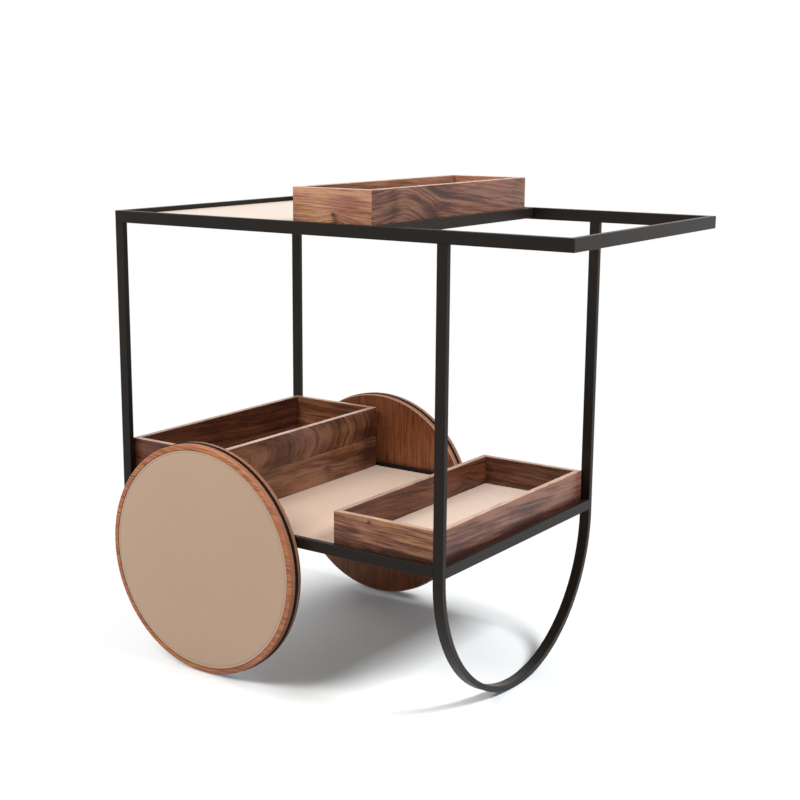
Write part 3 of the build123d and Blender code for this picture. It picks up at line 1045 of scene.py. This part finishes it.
def trays() -> list[Tray]:
    """The three trays with the cut of each board.

    Returns:
        The deep, the low and the top tray.
    """
    wall_x, wall_y, floor = Grain.WALL_ALONG_X, Grain.WALL_ALONG_Y, Grain.FLOOR_ALONG_Y
    deep = {
        "near_wall": Walnut(wall_x, MAROON, 1.3, light=0.6, wear_and_highlight=0.8),
        "far_wall": Walnut(wall_x, UMBER, 2.9, light=1.28, wander=0.016, wear_and_highlight=0.8),
        "front_upper_board": Walnut(
            wall_y, UMBER, 3.7, light=0.55, heart=(0.0, 0.055), drift=(0.0, -0.25), ring=0.006, bands=0.8,
            clouds=1.7, veins=0.9, fibres=1.4, wear_and_highlight=1.0,
            marks=(
                Mark(0.075, 0.006, 0.018, 0.014, -0.35), Mark(0.135, 0.005, 0.02, 0.024, -0.45),
                Mark(0.2, -0.02, 0.045, 0.02, 0.9), Mark(0.225, 0.01, 0.03, 0.03, 0.4),
                Mark(0.035, 0.002, 0.014, 0.02, 0.3), Mark(-0.1, -0.018, 0.09, 0.006, 0.25),
                Mark(0.0, -0.0295, 9.0, 0.0014, 0.6),
            ),
        ),
        "front_lower_board": Walnut(
            wall_y, UMBER, 4.4, light=0.72, wander=0.014, bands=0.8, clouds=1.7, veins=0.8, fibres=1.2,
            wear_and_highlight=0.25,
            marks=(
                Mark(0.075, -0.003, 0.014, 0.009, 0.45, 0.008), Mark(0.03, -0.012, 0.07, 0.02, -0.2),
                Mark(0.22, 0.0, 0.045, 0.04, 0.7), Mark(-0.12, 0.005, 0.05, 0.03, 0.35),
            ),
        ),
        "rear_upper_board": Walnut(
            wall_y, MAROON, 5.2, light=0.5, clouds=1.3, wear_and_highlight=0.8,
            marks=(Mark(-0.13, 0.02, 0.12, 0.05, -0.3), Mark(0.17, 0.0, 0.1, 0.06, 0.25)),
        ),
        "rear_lower_board": Walnut(wall_y, UMBER, 6.1, light=0.5, clouds=1.3, wear_and_highlight=0.25),
        "base": Walnut(floor, UMBER, 7.7),
    }
    low = {
        "near_wall": Walnut(
            wall_x, WARM, 8.5, light=0.82, face=-0.005, wander=0.005, clouds=1.8, veins=1.3, fibres=1.9,
            wear_and_highlight=0.5,
            marks=(
                # The first mark, a dark band along the bottom, is painted shade from the rail
                Mark(0.0, -0.023, 0.16, 0.011, 0.6), Mark(0.0, -0.01, 0.035, 0.006, 0.3),
                Mark(0.055, 0.002, 0.05, 0.02, -0.14), Mark(-0.045, 0.008, 0.012, 0.013, -0.22),
                Mark(-0.031, 0.024, 0.004, 0.004, 0.4, 0.004), Mark(0.075, -0.014, 0.03, 0.004, -0.4),
            ),
        ),
        "far_wall": Walnut(wall_x, UMBER, 9.1, light=0.64, wander=0.006, fibres=1.3, wear_and_highlight=0.85),
        "front_wall": Walnut(
            wall_y, PLUM, 10.6, light=0.86, wander=0.005, clouds=1.9, veins=1.2, fibres=1.4, wear_and_highlight=0.85,
            marks=(
                Mark(-0.085, 0.02, 0.03, 0.011, -0.75), Mark(0.06, 0.022, 0.07, 0.012, -0.55),
                Mark(0.0, -0.026, 0.4, 0.012, 0.85), Mark(-0.19, -0.012, 0.06, 0.025, 0.6),
            ),
        ),
        "rear_wall": Walnut(
            wall_y, MAROON, 11.2, light=0.49, wander=0.008, fibres=1.5, wear_and_highlight=0.6,
            marks=(Mark(0.15, 0.0, 0.025, 0.014, 0.35, 0.012),),
        ),
        "base": Walnut(floor, WARM, 12.4),
    }
    top = {
        "near_wall": Walnut(
            wall_x, TAN, 13.8, light=1.17, face=-0.005, wander=0.008, bands=0.5, veins=0.7, fibres=1.5,
            wear_and_highlight=0.9,
            marks=(
                Mark(0.003, -0.01, 0.0035, 0.003, 0.9, 0.004), Mark(0.007, -0.018, 0.005, 0.008, 0.5),
                Mark(0.005, -0.022, 0.028, 0.016, 0.0, 0.012), Mark(-0.01, 0.026, 0.12, 0.011, -0.38),
            ),
        ),
        "far_wall": Walnut(wall_x, TAN, 14.3, light=1.1, wear_and_highlight=0.6),
        "front_wall": Walnut(
            wall_y, PLUM, 15.9, light=0.66, drift=(0.13, 0.0), wander=0.004, bands=0.6, veins=1.3, fibres=2.2,
            wear_and_highlight=0.8,
            marks=(
                Mark(-0.14, 0.0, 0.062, 0.5, 0.0, 0.02), Mark(-0.172, -0.002, 0.011, 0.05, 0.35),
                Mark(-0.055, -0.012, 0.014, 0.016, 0.3, -0.006),
                Mark(-0.06, 0.0175, 0.05, 0.004, 0.6, 0.0, True),
                Mark(0.03, 0.004, 0.09, 0.0035, 0.35, 0.0, True),
                Mark(-0.1, 0.005, 0.05, 0.0035, 0.5, 0.0, True),
                Mark(0.0, -0.001, 0.07, 0.003, -0.5, 0.0, True),
                Mark(0.01, -0.007, 0.05, 0.0028, 0.45, 0.0, True), Mark(-0.145, 0.022, 0.025, 0.008, -0.45),
                Mark(-0.2, 0.0, 0.06, 0.06, 0.08), Mark(0.16, 0.0, 0.09, 0.06, -0.18),
            ),
        ),
        "rear_wall": Walnut(wall_y, TAN, 16.7, light=0.46, wear_and_highlight=0.8),
        "base": Walnut(floor, TAN, 17.5),
    }
    return [Tray("deep_tray", deep, False), Tray("low_tray", low, True), Tray("top_tray", top, True)]


@dataclass(frozen=True)
class SoftBox:
    """A rectangular studio lamp."""

    name: str
    place: Point
    aim: Point
    size: Pair
    power: float
    colour: Colour = WHITE
    mirrored: bool = True

    def build(self) -> None:
        """Hangs the lamp and turns it to what it lights."""
        lamp = bpy.data.lights.new(self.name, "AREA")
        lamp.shape = "RECTANGLE"
        lamp.size, lamp.size_y = self.size
        lamp.energy = self.power
        lamp.color = self.colour
        made = bpy.data.objects.new(self.name, lamp)
        made.location = self.place
        made.visible_glossy = self.mirrored
        ahead = Vector(self.aim) - Vector(self.place)
        made.rotation_euler = ahead.to_track_quat("-Z", "Y").to_euler()
        bpy.context.scene.collection.objects.link(made)
        log.info("hung lamp %s", self.name)


@dataclass
class Studio:
    """White floor and backdrop, soft lamps and the camera at the photograph's place."""

    camera_place: Point = (1.33662, -1.99576, 0.95492)
    yaw: float = 36.006
    pitch: float = 11.987
    roll: float = 0.048
    focal_pixels: float = 1437.25
    centre_pixels: Pair = (353.0, 407.92)
    picture_pixels: float = 800.0
    sensor_width: float = 36.0
    floor_half: float = 14.0
    floor_colour: Colour = (0.97, 0.97, 0.97)
    bounce_colour: Colour = (0.3, 0.3, 0.3)
    floor_lift: float = 0.05
    lift_colour: Colour = (0.72, 1.05, 1.28)
    clear_centre: Point = (0.12, 0.05, 0.0)
    clear_from: float = 0.35
    clear_to: float = 0.78
    ambient: float = 0.25

    def build(self) -> None:
        """Builds the whole stage."""
        self.build_world()
        self.build_floor()
        self.build_lamps()
        self.build_camera()
        bpy.context.scene.view_settings.view_transform = "Standard"

    def build_world(self) -> None:
        """White for what the camera and reflections see, a plain grey for the light that it gives."""
        world = bpy.data.worlds.new("studio")
        bpy.context.scene.world = world
        world.use_nodes = True
        recipe = Recipe(world.node_tree)
        grey = recipe.node("ShaderNodeBackground", inputs={"Color": WHITE, "Strength": self.ambient})
        white = recipe.node("ShaderNodeBackground", inputs={"Color": WHITE, "Strength": 1.0})
        shown = recipe.node("ShaderNodeMixShader", inputs={0: self.seen(recipe), 1: grey, 2: white})
        recipe.close(shown, "ShaderNodeOutputWorld")

    @staticmethod
    def seen(recipe: Recipe) -> Signal:
        """1 for rays from the camera, mirrors and glass, and 0 for the rest.

        Args:
            recipe: The tree that asks.

        Returns:
            The share.
        """
        share = recipe.node("ShaderNodeLightPath", output="Is Camera Ray")
        for kind in ("Is Glossy Ray", "Is Transmission Ray"):
            share = recipe.maths("MAXIMUM", share, recipe.node("ShaderNodeLightPath", output=kind))
        return share

    def build_floor(self) -> None:
        """A plane that keeps the shadow near the trolley and clears to plain white further out."""
        half = self.floor_half
        corners = [(-half, -half, 0.0), (half, -half, 0.0), (half, half, 0.0), (-half, half, 0.0)]
        mesh = bpy.data.meshes.new("floor")
        mesh.from_pydata(corners, [], [(0, 1, 2, 3)])
        floor = bpy.data.objects.new("floor", mesh)
        bpy.context.scene.collection.objects.link(floor)
        paper = bpy.data.materials.new("paper")
        paper.use_nodes = True
        recipe = Recipe(paper.node_tree)
        seen = self.seen(recipe)
        ends = {0: recipe.place(), 1: self.clear_centre}
        far = recipe.node("ShaderNodeVectorMath", {"operation": "DISTANCE"}, ends, "Value")
        clear = recipe.smooth(far, self.clear_from, self.clear_to)
        bounce = recipe.node("ShaderNodeBsdfDiffuse", inputs={"Color": self.bounce_colour})
        shown = recipe.node("ShaderNodeBsdfDiffuse", inputs={"Color": self.floor_colour})
        glow = {"Color": self.lift_colour, "Strength": self.floor_lift}
        lift = recipe.node("ShaderNodeEmission", inputs=glow)
        white = recipe.node("ShaderNodeEmission", inputs={"Color": WHITE, "Strength": 1.0})
        lit = recipe.node("ShaderNodeAddShader", inputs={0: shown, 1: lift})
        fading = recipe.node("ShaderNodeMixShader", inputs={0: clear, 1: lit, 2: white})
        recipe.close(recipe.node("ShaderNodeMixShader", inputs={0: seen, 1: bounce, 2: fading}))
        mesh.materials.append(paper)

    def build_lamps(self) -> None:
        """A weak box overhead, a key from the near left, a small cool lamp beyond the handle and a back lamp.

        The back lamp lights the far left and shows in no reflection.
        """
        boxes = (
            SoftBox("overhead", (-0.3, 0.1, 2.6), (-0.1, 0.0, 0.5), (1.8, 1.4), 3.0, (1.0, 0.99, 0.98)),
            SoftBox("key", (-0.85, -1.95, 2.55), (0.0, 0.0, 0.4), (1.3, 1.3), 64.0, (1.0, 0.98, 0.95)),
            SoftBox("right", (1.9, 0.1, 2.2), (0.0, 0.0, 0.3), (0.7, 0.7), 74.0, (0.95, 0.98, 1.0)),
            SoftBox("back", (-2.0, 1.5, 1.3), (0.0, 0.0, 0.3), (1.6, 1.2), 26.0, mirrored=False),
        )
        for box in boxes:
            box.build()

    def build_camera(self) -> None:
        """Sets the camera from its place, its angles and the middle of its picture."""
        yaw, pitch, roll = (math.radians(angle) for angle in (self.yaw, self.pitch, self.roll))
        reach = math.cos(pitch)
        ahead = Vector((-math.sin(yaw) * reach, math.cos(yaw) * reach, -math.sin(pitch)))
        level = Vector((math.cos(yaw), math.sin(yaw), 0.0))
        upright = level.cross(ahead)
        right = math.cos(roll) * level + math.sin(roll) * upright
        up = math.cos(roll) * upright - math.sin(roll) * level
        data = bpy.data.cameras.new("camera")
        data.sensor_width = self.sensor_width
        data.lens = self.focal_pixels / self.picture_pixels * self.sensor_width
        half = self.picture_pixels / 2
        data.shift_x = (half - self.centre_pixels[0]) / self.picture_pixels
        data.shift_y = (self.centre_pixels[1] - half) / self.picture_pixels
        camera = bpy.data.objects.new("camera", data)
        turn = Matrix((right, up, -ahead)).transposed()
        camera.matrix_world = Matrix.Translation(self.camera_place) @ turn.to_4x4()
        bpy.context.scene.collection.objects.link(camera)
        bpy.context.scene.camera = camera


def main() -> None:
    """Builds the trolley's looks and its stage in order."""
    logging.basicConfig(level=logging.INFO, format="%(name)s: %(message)s")
    Studio().build()
    rubber = RUBBER.material()
    plate = replace(PLATED_STEEL, name="hub_steel").material()
    veneer = PLYWOOD.material()
    # One leather in four copies: the lining keeps the plain colours, and the top, lower and wheel copies have
    # colour and sheen changed as painted light and shade for how each place is lit
    lining = Leather().material()
    top = Leather("top_leather", (0.483, 0.352, 0.234), (0.422, 0.3, 0.195), sheen=0.4, roughness=0.42)
    lower = Leather("lower_leather", (0.6, 0.38, 0.24), (0.525, 0.32, 0.197), sheen=0.62)
    facing = Leather("wheel_leather", (0.646, 0.424, 0.275), (0.565, 0.359, 0.228)).material()
    SteelFrame().build()
    Shelf("top").build(top.material(), veneer)
    Shelf("lower").build(lower.material(), veneer)
    Wheel(Side.NEAR, seed=21.0).build(facing, rubber, plate)
    Wheel(Side.FAR, seed=25.0).build(facing, rubber, plate)
    for tray in trays():
        tray.build(lining)


if __name__ == "__main__":
    main()
